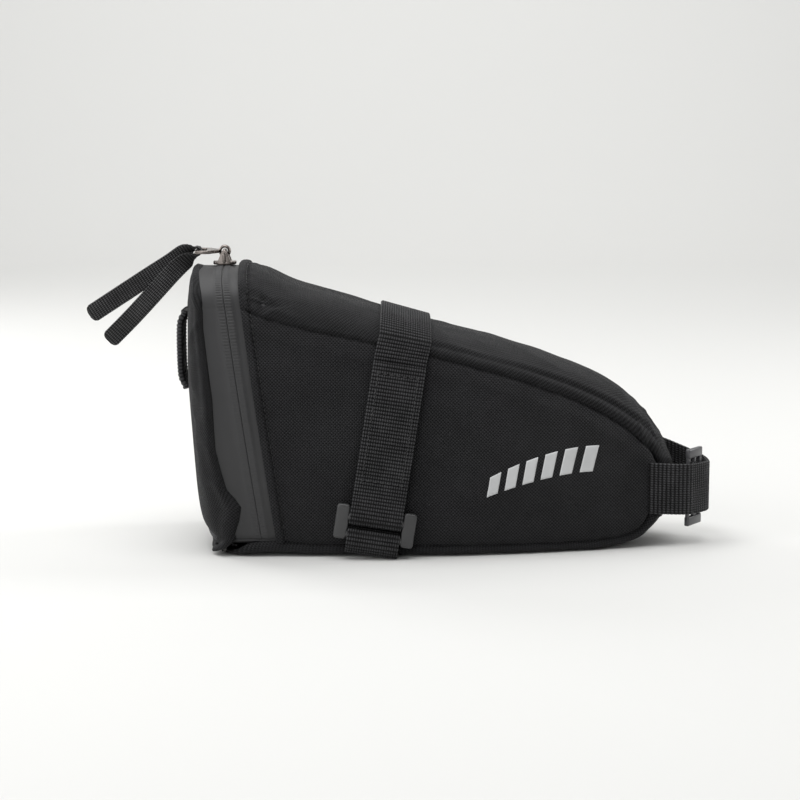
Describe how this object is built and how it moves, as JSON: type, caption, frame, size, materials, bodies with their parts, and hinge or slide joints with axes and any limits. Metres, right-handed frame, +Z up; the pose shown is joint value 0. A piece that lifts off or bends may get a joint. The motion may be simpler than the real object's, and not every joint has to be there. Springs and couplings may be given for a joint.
{
  "type": "bicycle saddle bag",
  "caption": "Wedge-shaped fabric saddle bag with a zipped rear flap, a hook-and-loop rail strap through a ring, and a webbing loop for the seatpost.",
  "frame": {"origin": "middle of the flat bottom, on the surface the bag rests on", "axes": "+X towards the seatpost, +Z up towards the saddle, -Y is the side with the ring and the print"},
  "size_m": [0.3075, 0.1005, 0.1463],
  "materials": {
    "woven_polyester": "plain woven polyester, satin",
    "bound_lining": "light woven tape",
    "foam_board": "closed-cell foam board",
    "webbing": "ribbed nylon webbing",
    "zip_film": "satin polyurethane film over the zip tape",
    "zip_coil": "moulded nylon coil",
    "hook_loop": "hook-and-loop pile",
    "reflective_film": "grey reflective transfer",
    "slider_metal": "gunmetal plated zinc",
    "pull_ribbon": "ribbed woven ribbon",
    "moulded_plastic": "moulded acetal, fine texture",
    "buckle_plastic": "moulded acetal, fine texture"
  },
  "bodies": {
    "bag": {"side_panel_near": "woven_polyester", "side_panel_far": "woven_polyester", "top_panel": "woven_polyester", "bottom_panel": "woven_polyester", "side_stiffener_near": "foam_board", "side_stiffener_far": "foam_board", "bottom_stiffener": "foam_board", "seam_tape_near": "bound_lining", "seam_tape_far": "bound_lining", "zip_tape_front": "zip_film", "zip_coil_front": "zip_coil", "zip_stops": "slider_metal", "rail_strap": "webbing", "strap_loop_tape": "hook_loop", "strap_anchor_loop": "webbing", "seatpost_strap": "webbing", "reflective_print": "reflective_film"},
    "flap": {"rear_panel": "woven_polyester", "rear_stiffener": "foam_board", "zip_tape_rear": "zip_film", "zip_coil_rear": "zip_coil", "light_loop": "webbing"},
    "slider": {"slider_plates": "slider_metal", "slider_bridge": "slider_metal"},
    "pull_tab": {"pull_tab": "slider_metal"},
    "pull_ribbon": {"pull_ribbon": "pull_ribbon"},
    "ring": {"strap_ring": "moulded_plastic"},
    "strap_tail": {"rail_strap_tail": "webbing", "strap_hook_tape": "hook_loop"},
    "buckle": {"seatpost_buckle": "buckle_plastic", "buckle_loop": "webbing"}
  },
  "joints": [
    {"name": "flap_hinge", "type": "hinge", "parent": "bag", "child": "flap", "pos_m": [-0.0973, 0, 0.0016], "axis": [0, -1, 0], "range_deg": [0, 70]},
    {"name": "slider_travel", "type": "hinge", "parent": "flap", "child": "slider", "pos_m": [-0.08423, 0, 0.0416], "axis": [0.9886, 0, 0.1503], "range_deg": [-12, 12]},
    {"name": "pull_tab_swing", "type": "hinge", "parent": "slider", "child": "pull_tab", "pos_m": [-0.09867, 0, 0.1422], "axis": [0, 1, 0], "range_deg": [0, 130]},
    {"name": "pull_ribbon_swing", "type": "hinge", "parent": "pull_tab", "child": "pull_ribbon", "pos_m": [-0.11217, 0, 0.1422], "axis": [0, 1, 0], "range_deg": [0, 60]},
    {"name": "ring_tilt", "type": "hinge", "parent": "bag", "child": "ring", "pos_m": [-0.02592, -0.0492, 0.01018], "axis": [0.9882, 0, -0.153], "range_deg": [0, 8]},
    {"name": "tail_peel", "type": "hinge", "parent": "ring", "child": "strap_tail", "pos_m": [-0.02467, -0.0492, 0.01828], "axis": [0.9882, 0, -0.153], "range_deg": [0, 100]},
    {"name": "buckle_slide", "type": "slide", "parent": "bag", "child": "buckle", "axis": [0.5735, 0.8192, 0], "range_m": [-0.003, 0.003]}
  ]
}
